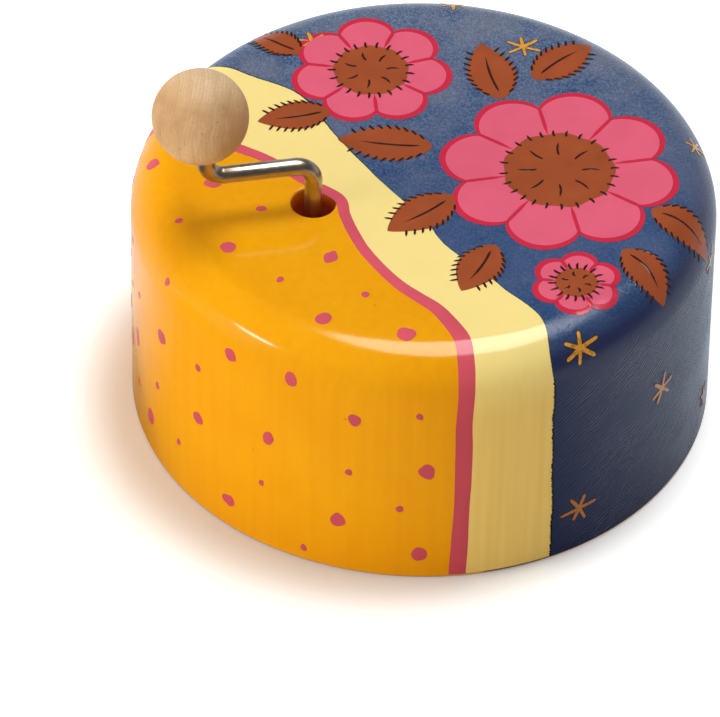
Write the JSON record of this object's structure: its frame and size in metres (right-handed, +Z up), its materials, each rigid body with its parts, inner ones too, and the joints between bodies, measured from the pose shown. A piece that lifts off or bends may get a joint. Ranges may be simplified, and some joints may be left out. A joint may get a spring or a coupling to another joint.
{
  "type": "hand-cranked music box",
  "caption": "Round painted wooden music box with a bent-wire hand crank and wooden ball knob on its top, turning a pinned-cylinder movement inside.",
  "frame": {"origin": "centre of the case's foot, on the surface it stands on", "axes": "+Z up; the crank shaft stands on the -X side of the top"},
  "size_m": [0.092, 0.092, 0.0716],
  "materials": {
    "painted_wood": "orange-yellow paint under a clear gloss lacquer",
    "base_wood": "plain plywood, unfinished",
    "knob_wood": "turned pale hardwood, unfinished",
    "crank_wire": "bright nickel-plated steel wire",
    "casting": "as-cast zinc alloy, satin grey",
    "steel": "bright zinc-plated steel",
    "comb_steel": "ground hardened steel",
    "brass": "turned brass, lightly polished",
    "nylon": "natural nylon, satin",
    "lead": "dull lead"
  },
  "bodies": {
    "case": {"case": "painted_wood", "base_disc": "base_wood", "base_screws": "steel", "bedplate": "casting", "bedplate_screws": "steel", "crank_bridge": "steel", "bridge_screws": "steel", "cylinder_arbor": "steel", "comb": "comb_steel", "comb_screws": "steel", "bass_weights": "lead"},
    "crank": {"crank": "crank_wire", "worm": "brass", "thrust_washer": "nylon", "retaining_clip": "steel"},
    "knob": {"knob": "knob_wood", "knob_sleeve": "nylon"},
    "cylinder": {"tune_cylinder": "brass", "worm_wheel": "nylon", "cylinder_cap": "nylon"}
  },
  "joints": [
    {"name": "crank_turn", "type": "hinge", "parent": "case", "child": "crank", "pos_m": [-0.0189, 0, 0.044], "axis": [0, 0, 1], "continuous": true},
    {"name": "knob_spin", "type": "hinge", "parent": "crank", "child": "knob", "pos_m": [-0.03517, 0.00376, 0.0517], "axis": [-0.0849, 0.0196, 0.9962], "continuous": true},
    {"name": "cylinder_turn", "type": "hinge", "parent": "case", "child": "cylinder", "pos_m": [-0.01087, 0.00427, 0.02601], "axis": [0.4695, -0.8829, 0], "continuous": true}
  ],
  "couplings": [
    {"joint": "cylinder_turn", "follows": "crank_turn", "ratio": 0.041667}
  ]
}
